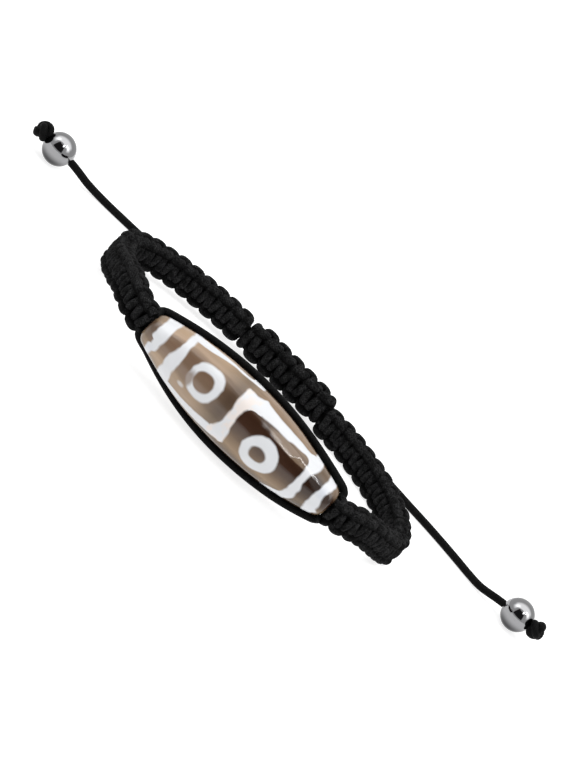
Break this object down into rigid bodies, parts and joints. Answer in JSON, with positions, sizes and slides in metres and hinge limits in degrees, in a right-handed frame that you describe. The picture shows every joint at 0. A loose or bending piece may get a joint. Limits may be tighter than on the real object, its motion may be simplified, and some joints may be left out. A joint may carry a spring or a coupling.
{
  "type": "dzi bead cord bracelet",
  "caption": "Barrel-shaped dzi bead with eye patterns on a knotted black cord bracelet with a sliding knot and steel balls on its two loose ends.",
  "frame": {"origin": "middle of the bracelet's own box, without its loose ends, on the surface that it lies on", "axes": "+Z along the wearer's arm, up from the surface; +X along the bead, to the right seen from the bead's side; +Y from the bead to the slide"},
  "size_m": [0.1226, 0.048, 0.0133],
  "materials": {
    "agate": "polished brown agate with cream eye and line pattern",
    "knotted_cord": "matte charcoal black waxed cord in square knots",
    "smooth_cord": "black braided cord with a slight satin sheen",
    "steel": "polished stainless steel"
  },
  "bodies": {
    "root": {"dzi_bead": "agate", "bead_core_cord": "smooth_cord", "upper_side_cord": "smooth_cord", "lower_side_cord": "smooth_cord", "left_band": "knotted_cord", "right_band": "knotted_cord", "sliding_knot": "knotted_cord", "left_tail_cord": "smooth_cord", "right_tail_cord": "smooth_cord", "left_end_ball": "steel", "right_end_ball": "steel", "left_end_knot": "smooth_cord", "right_end_knot": "smooth_cord"}
  },
  "joints": []
}
